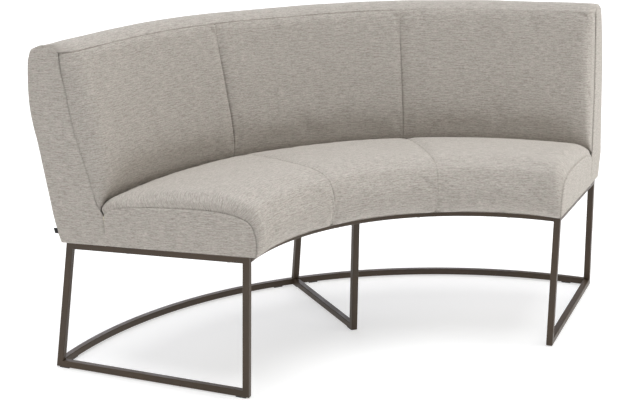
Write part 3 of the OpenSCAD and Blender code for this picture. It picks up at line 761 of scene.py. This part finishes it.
def add(tree, kind, inputs=(), **settings):
    """A node of a tree, with its settings and its inputs: numbers, colours or other sockets."""
    node = tree.nodes.new(kind)
    for name, value in settings.items():
        setattr(node, name, value)
    for name, value in dict(inputs).items():
        socket = node.inputs[name]
        if isinstance(value, bpy.types.NodeSocket):
            tree.links.new(value, socket)
        else:
            socket.default_value = value
    return node


def maths(tree, operation, a, b=0.0, c=0.0):
    """A sum, product or other function of one to three values."""
    return add(tree, "ShaderNodeMath", {0: a, 1: b, 2: c}, operation=operation).outputs[0]


def mix(tree, share, a, b, blend="MIX"):
    """The first colour at share 0 and the second one, or their blend, at 1."""
    node = add(tree, "ShaderNodeMix", {0: share, 6: a, 7: b}, data_type="RGBA",
               blend_type=blend)
    return node.outputs[2]


def spread(tree, value, low, high, to_low=0.0, to_high=1.0):
    """A value that goes smoothly from to_low at low to to_high at high."""
    return add(tree, "ShaderNodeMapRange", {0: value, 1: low, 2: high, 3: to_low, 4: to_high},
               interpolation_type="SMOOTHSTEP").outputs[0]


def noise(tree, vector, scale, detail=2.0, roughness=0.5):
    """A cloudy mask with scale clouds to the metre."""
    return add(tree, "ShaderNodeTexNoise", {"Vector": vector, "Scale": scale, "Detail": detail,
                                            "Roughness": roughness}).outputs["Fac"]


def stretched(tree, vector, scale, place=(0, 0, 0)):
    """A pattern's coordinates, scaled along each axis and moved to a place."""
    return add(tree, "ShaderNodeMapping", {"Vector": vector, "Scale": scale,
                                           "Location": place}).outputs[0]


def new_group(name, inputs, outputs):
    """A shader node group with named inputs and outputs."""
    tree = bpy.data.node_groups.new(name, "ShaderNodeTree")
    for key, kind, value in inputs:
        socket = tree.interface.new_socket(name=key, in_out="INPUT", socket_type=kind)
        if value is not None:
            socket.default_value = value
    for key, kind in outputs:
        tree.interface.new_socket(name=key, in_out="OUTPUT", socket_type=kind)
    return tree, tree.nodes.new("NodeGroupInput").outputs, tree.nodes.new("NodeGroupOutput").inputs


def slub_weave_group():
    """A plain weave whose weft threads thicken and thin: rows across, finer warp threads between
    them, slubs drawn out along the rows and a faint mottle. Its vector is in metres."""
    tree, given, out = new_group(
        "slub_weave",
        [("Vector", "NodeSocketVector", None), ("Light", "NodeSocketColor", None),
         ("Dark", "NodeSocketColor", None), ("Slub", "NodeSocketFloat", 0.5)],
        [("Color", "NodeSocketColor"), ("Height", "NodeSocketFloat")])
    at = given["Vector"]
    bend = noise(tree, stretched(tree, at, (30, 60, 30)), 1.0, 1.0)
    split = add(tree, "ShaderNodeSeparateXYZ", {0: at}).outputs
    row = maths(tree, "MULTIPLY_ADD", bend, 0.0012, split[1])
    rows = maths(tree, "ABSOLUTE", maths(tree, "SINE", maths(tree, "MULTIPLY", row, 1900)))
    warp = maths(tree, "ABSOLUTE", maths(tree, "SINE", maths(tree, "MULTIPLY", split[0], 2600)))
    long_slub = spread(tree, noise(tree, stretched(tree, at, (62, 300, 62)), 1.0, 2.0, 0.55),
                       0.34, 0.66)
    short_slub = spread(tree, noise(tree, stretched(tree, at, (170, 470, 170), (3, 5, 0)), 1.0,
                                    1.0, 0.5), 0.3, 0.7)
    drawn_slub = spread(tree, noise(tree, stretched(tree, at, (26, 330, 26), (7, 4, 0)), 1.0,
                                    1.0, 0.5), 0.34, 0.66)
    fleck = spread(tree, noise(tree, stretched(tree, at, (110, 330, 110), (9, 2, 0)), 1.0, 1.0),
                   0.66, 0.78)
    mottle = noise(tree, stretched(tree, at, (14, 22, 14)), 1.0, 4.0, 0.6)
    tone = maths(tree, "MULTIPLY_ADD", long_slub, 0.26,
                 maths(tree, "MULTIPLY_ADD", short_slub, 0.3, 0.1))
    tone = maths(tree, "MULTIPLY_ADD", drawn_slub, 0.2, tone)
    tone = maths(tree, "MULTIPLY_ADD", rows, 0.06, tone)
    tone = maths(tree, "MULTIPLY_ADD", mottle, 0.16, tone)
    tone = maths(tree, "MULTIPLY_ADD", fleck, given["Slub"], tone)
    tone = maths(tree, "MAXIMUM", maths(tree, "MINIMUM", tone, 1.0), 0.0)
    hue = spread(tree, noise(tree, stretched(tree, at, (45, 160, 45), (2, 8, 0)), 1.0, 1.0),
                 0.35, 0.65)
    tint = mix(tree, hue, (1.0, 0.975, 0.985, 1), (0.975, 0.985, 0.975, 1))
    threads = mix(tree, tone, given["Dark"], given["Light"])
    out_colour = mix(tree, 1.0, threads, tint, "MULTIPLY")
    height = maths(tree, "MULTIPLY_ADD", rows, 0.5, maths(tree, "MULTIPLY", warp, 0.2))
    height = maths(tree, "MULTIPLY_ADD", long_slub, 0.5, height)
    tree.links.new(out_colour, out["Color"])
    tree.links.new(height, out["Height"])
    return tree


def grain_group():
    """A fine unevenness of a painted or moulded surface: a mask for colour and one for height."""
    tree, given, out = new_group(
        "fine_grain", [("Vector", "NodeSocketVector", None), ("Scale", "NodeSocketFloat", 900.0)],
        [("Mask", "NodeSocketFloat"), ("Height", "NodeSocketFloat")])
    fine = add(tree, "ShaderNodeTexNoise", {"Vector": given["Vector"], "Scale": given["Scale"],
                                            "Detail": 2.0}).outputs["Fac"]
    broad = noise(tree, given["Vector"], 14.0, 4.0, 0.6)
    tree.links.new(spread(tree, broad, 0.3, 0.7), out["Mask"])
    tree.links.new(fine, out["Height"])
    return tree


def group_node(tree, group, inputs):
    """The outputs of a group placed in a tree."""
    return add(tree, "ShaderNodeGroup", inputs,
               node_tree=bpy.data.node_groups[group]).outputs


def new_material(name):
    """A material with its tree and its shader, or the finished one without them."""
    material = bpy.data.materials.get(name)
    if material:
        return material, None, None
    material = bpy.data.materials.new(name)
    material.use_nodes = True
    tree = material.node_tree
    return material, tree, tree.nodes["Principled BSDF"]


def rgba(value, scale=1.0):
    """A colour made lighter or darker by a scale, fully opaque."""
    return (value[0] * scale, value[1] * scale, value[2] * scale, 1.0)


def bumped(tree, shader, height, strength, distance):
    """Turns the shader's normals by a height, whose full range is a distance in metres."""
    node = add(tree, "ShaderNodeBump", {"Height": height, "Strength": strength,
                                        "Distance": distance})
    tree.links.new(node.outputs[0], shader.inputs["Normal"])


def cloth_material(finish):
    """The woven cover, on the cloth's own coordinates in metres, with painted shade of a seam's
    groove darkening the cloth where they start, as at the seam of the top strip: less towards the
    right."""
    material, tree, shader = new_material("slub_weave_cloth")
    if tree is None:
        return material
    if "slub_weave" not in bpy.data.node_groups:
        slub_weave_group()
    uv = add(tree, "ShaderNodeUVMap", uv_map="cloth").outputs[0]
    weave = group_node(tree, "slub_weave", {
        "Vector": uv, "Light": rgba(finish.light_thread), "Dark": rgba(finish.dark_thread),
        "Slub": 0.25})
    along, across = add(tree, "ShaderNodeSeparateXYZ", {0: uv}).outputs[:2]
    # Painted shade of the seam's groove: within a few millimetres of where the across coordinate
    # starts, fading out towards the right
    seam = maths(tree, "MULTIPLY",
                 spread(tree, maths(tree, "ABSOLUTE", across), 0.001, 0.0037, 1, 0),
                 spread(tree, along, 0.1, 0.4, 0.62, 0.08))
    tree.links.new(mix(tree, seam, weave["Color"], rgba(finish.seam)), shader.inputs["Base Color"])
    shader.inputs["Roughness"].default_value = 0.92
    shader.inputs["Specular IOR Level"].default_value = 0.15
    shader.inputs["Sheen Weight"].default_value = 0.25
    shader.inputs["Sheen Roughness"].default_value = 0.45
    shader.inputs["Sheen Tint"].default_value = (0.95, 0.93, 0.9, 1)
    bumped(tree, shader, weave["Height"], 0.5, 0.0006)
    return material


def plain_cloth_material(name, light, dark, scale):
    """A thin plain cloth or webbing, on Object coordinates."""
    material, tree, shader = new_material(name)
    if tree is None:
        return material
    at = add(tree, "ShaderNodeTexCoord").outputs["Object"]
    threads = noise(tree, at, scale, 3.0, 0.7)
    tree.links.new(mix(tree, threads, rgba(dark), rgba(light)), shader.inputs["Base Color"])
    shader.inputs["Roughness"].default_value = 0.95
    bumped(tree, shader, threads, 0.4, 0.0004)
    return material


def grained_material(name, tint, dull, gloss, grain=900.0, bump=0.00012, metal=0.0, broad=0.12,
                     shine=0.5):
    """Paint, plastic or bare metal with a fine grain and a faint broad change of tone."""
    material, tree, shader = new_material(name)
    if tree is None:
        return material
    if "fine_grain" not in bpy.data.node_groups:
        grain_group()
    at = add(tree, "ShaderNodeTexCoord").outputs["Object"]
    surface = group_node(tree, "fine_grain", {"Vector": at, "Scale": grain})
    tree.links.new(mix(tree, surface["Mask"], rgba(tint, 1 - broad), rgba(tint, 1 + broad)),
                   shader.inputs["Base Color"])
    tree.links.new(spread(tree, surface["Mask"], 0, 1, gloss, dull), shader.inputs["Roughness"])
    shader.inputs["Metallic"].default_value = metal
    shader.inputs["Specular IOR Level"].default_value = shine
    bumped(tree, shader, surface["Height"], 0.35, bump)
    return material


def wood_material():
    """Raw plywood: long grain drawn out along one way, with faint plies."""
    material, tree, shader = new_material("raw_plywood")
    if tree is None:
        return material
    at = add(tree, "ShaderNodeTexCoord").outputs["Object"]
    fibre = noise(tree, stretched(tree, at, (14, 14, 420)), 1.0, 4.0, 0.6)
    plies = noise(tree, stretched(tree, at, (3, 3, 90)), 1.0, 1.0)
    tone = maths(tree, "MULTIPLY_ADD", plies, 0.4, maths(tree, "MULTIPLY", fibre, 0.6))
    tree.links.new(mix(tree, tone, (0.42, 0.27, 0.13, 1), (0.72, 0.55, 0.34, 1)),
                   shader.inputs["Base Color"])
    shader.inputs["Roughness"].default_value = 0.75
    bumped(tree, shader, fibre, 0.3, 0.0003)
    return material


def set_material(node, material):
    """Gives a CAD node its finish."""
    for slot in frame["nodes"][node].material_slots:
        slot.material = material


# Operators

class BenchOperator:
    """Shared by the operators: the bench's lines, its finish and its cloth."""
    bl_options = {"REGISTER", "UNDO"}

    def prepare(self, context):
        self.lines = Lines(context.scene.bench_sizes)
        self.finish = context.scene.bench_finish
        self.cloth = cloth_material(self.finish)


class BENCH_OT_seat_pads(BenchOperator, bpy.types.Operator):
    """Makes the three seat pads: crowned panels that roll over the front and down to the ends"""
    bl_idname = "bench.seat_pads"
    bl_label = "Seat pads"

    def execute(self, context):
        self.prepare(context)
        for k in PANELS:
            pad = make_seat_pad(self.lines, k)
            finish_piece(pad, self.cloth, [f"seat_pad_{PANEL_NAMES[k]}"])
        return {"FINISHED"}


class BENCH_OT_back_pads(BenchOperator, bpy.types.Operator):
    """Makes the three leaning panels of the inner back"""
    bl_idname = "bench.back_pads"
    bl_label = "Back pads"

    def execute(self, context):
        self.prepare(context)
        for k in PANELS:
            pad = make_back_pad(self.lines, k)
            finish_piece(pad, self.cloth, [f"back_pad_{PANEL_NAMES[k]}"])
        return {"FINISHED"}


class BENCH_OT_outer_covers(BenchOperator, bpy.types.Operator):
    """Makes the strip over the back and the cover of the outer back"""
    bl_idname = "bench.outer_covers"
    bl_label = "Top strip and outer back"

    def execute(self, context):
        self.prepare(context)
        finish_piece(make_top_strip(self.lines), self.cloth, ["top_strip"])
        finish_piece(make_rear_cover(self.lines), self.cloth, ["rear_cover"])
        return {"FINISHED"}


class BENCH_OT_side_covers(BenchOperator, bpy.types.Operator):
    """Makes the covers on both ends of the seat and of the back"""
    bl_idname = "bench.side_covers"
    bl_label = "Side covers"

    def execute(self, context):
        self.prepare(context)
        lines = self.lines
        seat, back = seat_side_outline(lines), back_side_outline(lines)
        foot = lines.seat_end[-1][0]
        for side, word in SIDE_NAMES.items():
            for part, outline, middle, seed in (("seat", seat, (0.19, 0.05), 81),
                                                ("back", back, (0.508, 0.25), 91)):
                piece = make_side_cover(lines, side, f"{part}_side_panel_{word}", outline,
                                        fused(outline, foot), np.array(middle), seed + side,
                                        part == "back")
                finish_piece(piece, self.cloth, [f"{part}_side_cover_{word}"])
        return {"FINISHED"}


class BENCH_OT_seam_tab(BenchOperator, bpy.types.Operator):
    """Makes the small bare tab in the rear seam of the left end: a folded tape"""
    bl_idname = "bench.seam_tab"
    bl_label = "Seam tab"

    def execute(self, context):
        self.prepare(context)
        lines = self.lines
        out, tall, thick, foot, tucked, rim_gap = 0.0095, 0.0145, 0.0005, 0.0245, 0.004, 0.0006
        turn = np.linspace(-np.pi / 2, np.pi / 2, 9)
        loop = np.stack([out - thick + thick * np.cos(turn), thick * np.sin(turn)], 1)
        loop = np.vstack([[(-tucked, -thick)], loop, [(-tucked, thick)]])
        rise = np.linspace(0, tall, 9)
        rear = smooth_line(lines.rear)
        base = np.interp(foot + rise, rear[:, 1], rear[:, 0])
        section = np.stack([base[:, None] + loop[:, 0], foot + rise[:, None] + 0 * loop[:, 0]], -1)
        across = -(lines.size.pad_side + rim_gap + loop[:, 1] + 0 * base[:, None])
        outer = lines.place(section, -lines.size.half_angle, across)
        inner = outer[:, [0, -1]].mean(1, keepdims=True).repeat(3, 1)
        uv = np.stack([section[..., 0], section[..., 1]], -1)
        piece = close_rings("seam_tape_tab", outer, inner, uv)
        tape = plain_cloth_material("plain_dark_tape", (0.03, 0.03, 0.03), (0.008, 0.008, 0.008),
                                    1500)
        finish_piece(piece, tape, ["seam_tab"])
        return {"FINISHED"}


class BENCH_OT_filling(BenchOperator, bpy.types.Operator):
    """Makes the foam layers and the elastic straps that the pads hide"""
    bl_idname = "bench.filling"
    bl_label = "Foam and straps"

    def execute(self, context):
        self.prepare(context)
        lines = self.lines
        foam = grained_material("base_foam", (0.75, 0.68, 0.4), 0.95, 0.9, 500.0)
        front, rear, low, high, back_foam = -0.0017, 0.4257, 0.0523, 0.0777, 0.0115
        seat = [(rear, low), (front, low), (front, high), (rear, high)]
        foot, top = back_inner(lines)[[0, -1]]
        back = [foot + (back_foam, 0), foot + (FIT_GAP, 0), top + (FIT_GAP, 0),
                top + (back_foam, 0)]
        for name, corners, leans, node in (("seat_foam_layer", seat, False, "seat_base_foam"),
                                           ("back_foam_layer", back, True, "back_base_foam")):
            finish_piece(make_block(lines, name, corners, leans), foam, [node])
        webbing = plain_cloth_material("elastic_webbing", (0.2, 0.2, 0.2), (0.04, 0.04, 0.04),
                                       900)
        finish_piece(make_straps(lines), webbing, ["seat_straps"])
        return {"FINISHED"}


class BENCH_OT_dust_cover(BenchOperator, bpy.types.Operator):
    """Stretches the thin dark cloth under the wooden frame"""
    bl_idname = "bench.dust_cover"
    bl_label = "Dust cover"

    def execute(self, context):
        self.prepare(context)
        lines = self.lines
        front, inside_cover = -0.0017, 0.0063
        rear = lines.rear_base - inside_cover
        piece = make_dust_cover(lines, front, rear)
        cloth = plain_cloth_material("dust_cloth", (0.03, 0.03, 0.03), (0.01, 0.01, 0.01), 700)
        finish_piece(piece, cloth, ["dust_cover"])
        return {"FINISHED"}


class BENCH_OT_steel_frame(BenchOperator, bpy.types.Operator):
    """Paints the steel frame, and finishes the glides, screws and wood"""
    bl_idname = "bench.steel_frame"
    bl_label = "Frame finishes"

    def execute(self, context):
        self.prepare(context)
        finish = self.finish
        by_slot = {
            "frame_paint": grained_material("bronze_powder_coat", finish.steel, 0.5, 0.36,
                                            grain=1400.0, bump=0.0001, shine=0.3),
            "glide_plastic": grained_material("glide_plastic", finish.glide, 0.6, 0.45),
            "zinc_steel": grained_material("zinc_steel", (0.6, 0.6, 0.62), 0.5, 0.3, metal=1.0),
            "plywood": wood_material(),
        }
        for part in frame["record"]["subparts"]:
            if part["material_slot"] in by_slot:
                set_material(part["node"], by_slot[part["material_slot"]])
        return {"FINISHED"}


class BENCH_OT_stage(bpy.types.Operator):
    """Sets up the pale floor, the soft light and the camera"""
    bl_idname = "bench.stage"
    bl_label = "Stage"

    # The camera of the photograph, fitted to the frame's edges: in metres and radians
    camera_place = (-1.8366, -3.7811, 1.6413)
    camera_yaw, camera_pitch, camera_roll = 0.43219, -0.29396, 0.0147
    focal_pixels, photo_width = 1539.64, 631
    floor_radius, sun_distance, sun_width = 30, 4, 50
    softbox_place, softbox_target, softbox_width = (2.0, -1.5, 0.9), (0.75, 0, 0.45), 0.9

    def execute(self, context):
        finish = context.scene.bench_finish
        self.make_camera(context)
        self.make_floor(finish)
        self.make_lights(context, finish)
        context.scene.view_settings.view_transform = "Standard"
        return {"FINISHED"}

    def make_camera(self, context):
        yaw, pitch, roll = self.camera_yaw, self.camera_pitch, self.camera_roll
        ahead = Vector((math.sin(yaw) * math.cos(pitch), math.cos(yaw) * math.cos(pitch),
                        math.sin(pitch)))
        right = Vector((math.cos(yaw), -math.sin(yaw), 0))
        up = right.cross(ahead)
        turned_right = right * math.cos(roll) + up * math.sin(roll)
        turned_up = up * math.cos(roll) - right * math.sin(roll)
        data = bpy.data.cameras.new("camera")
        data.sensor_width = 36
        data.lens = self.focal_pixels * data.sensor_width / self.photo_width
        data.clip_end = 100
        camera = bpy.data.objects.new("camera", data)
        axes = Matrix((turned_right, turned_up, -ahead)).transposed().to_4x4()
        camera.matrix_world = Matrix.Translation(self.camera_place) @ axes
        context.scene.collection.objects.link(camera)
        context.scene.camera = camera

    def make_floor(self, finish):
        ring = np.linspace(0, 2 * np.pi, 96, endpoint=False)
        rim = self.floor_radius * np.stack([np.cos(ring), np.sin(ring), 0 * ring], 1)
        mesh = bpy.data.meshes.new("pale_floor")
        mesh.from_pydata(rim.tolist(), [], [list(range(len(rim)))])
        floor = bpy.data.objects.new("pale_floor", mesh)
        bpy.context.scene.collection.objects.link(floor)
        material, _, shader = new_material("pale_floor")
        shader.inputs["Base Color"].default_value = rgba(finish.floor)
        shader.inputs["Roughness"].default_value = 0.9
        shader.inputs["Specular IOR Level"].default_value = 0.1
        shader.inputs["Emission Color"].default_value = (1, 1, 1, 1)
        shader.inputs["Emission Strength"].default_value = finish.floor_glow
        mesh.materials.append(material)

    # Soft suns of the studio: where the light comes from, its colour and its strength
    suns = {"overhead_light": ((0, 0, 1), (0.985, 1.0, 1.015), 2.85),
            "right_light": ((0.9, -0.25, 0.35), (1.05, 1.0, 0.92), 0.9),
            "left_light": ((-0.9, -0.25, 0.35), (1.03, 1.0, 0.94), 0.74),
            "rear_light": ((0.1, 0.85, 0.55), (1.0, 1.0, 1.08), 1.12)}

    def make_lights(self, context, finish):
        for name, (side, tone, strength) in self.suns.items():
            data = bpy.data.lights.new(name, "SUN")
            data.angle = math.radians(self.sun_width)
            data.energy, data.color = strength, tone
            self.aimed(context, data, Vector(side) * self.sun_distance, Vector(side))
        box = bpy.data.lights.new("right_softbox", "AREA")
        box.size, box.energy, box.color = self.softbox_width, finish.softbox, (1.0, 1.0, 0.96)
        place = Vector(self.softbox_place)
        self.aimed(context, box, place, place - Vector(self.softbox_target))
        self.make_sky(context, finish)

    def aimed(self, context, data, place, back):
        """Puts a lamp at a place, with its back turned in a direction."""
        lamp = bpy.data.objects.new(data.name, data)
        lamp.matrix_world = (Matrix.Translation(place)
                             @ back.to_track_quat("Z", "Y").to_matrix().to_4x4())
        context.scene.collection.objects.link(lamp)

    def make_sky(self, context, finish):
        """The far background is white to the camera, and sends out only a weak light."""
        world = bpy.data.worlds.new("studio")
        world.use_nodes = True
        tree = world.node_tree
        sky = tree.nodes["Background"]
        sky.inputs["Color"].default_value = (1, 1, 1, 1)
        seen = tree.nodes.new("ShaderNodeLightPath").outputs["Is Camera Ray"]
        tree.links.new(maths(tree, "MULTIPLY_ADD", seen, 1 - finish.sky, finish.sky),
                       sky.inputs["Strength"])
        context.scene.world = world


class BENCH_PT_panel(bpy.types.Panel):
    """Lists the bench's pieces in the sidebar of the 3D view"""
    bl_idname = "BENCH_PT_panel"
    bl_label = "Bench"
    bl_space_type = "VIEW_3D"
    bl_region_type = "UI"
    bl_category = "Bench"

    def draw(self, context):
        for operator in OPERATORS:
            self.layout.operator(operator.bl_idname)
        for group in (context.scene.bench_sizes, context.scene.bench_finish):
            column = self.layout.column()
            for name in group.__annotations__:
                column.prop(group, name)


OPERATORS = (BENCH_OT_seat_pads, BENCH_OT_back_pads, BENCH_OT_outer_covers,
             BENCH_OT_side_covers, BENCH_OT_seam_tab, BENCH_OT_filling, BENCH_OT_dust_cover,
             BENCH_OT_steel_frame, BENCH_OT_stage)
CLASSES = (BenchSizes, BenchFinish, *OPERATORS, BENCH_PT_panel)


def register():
    for kind in CLASSES:
        bpy.utils.register_class(kind)
    bpy.types.Scene.bench_sizes = PointerProperty(type=BenchSizes)
    bpy.types.Scene.bench_finish = PointerProperty(type=BenchFinish)


def unregister():
    del bpy.types.Scene.bench_finish
    del bpy.types.Scene.bench_sizes
    for kind in reversed(CLASSES):
        bpy.utils.unregister_class(kind)


def main():
    register()
    for operator in OPERATORS:
        folder, name = operator.bl_idname.split(".")
        getattr(getattr(bpy.ops, folder), name)()


if __name__ == "__main__":
    main()
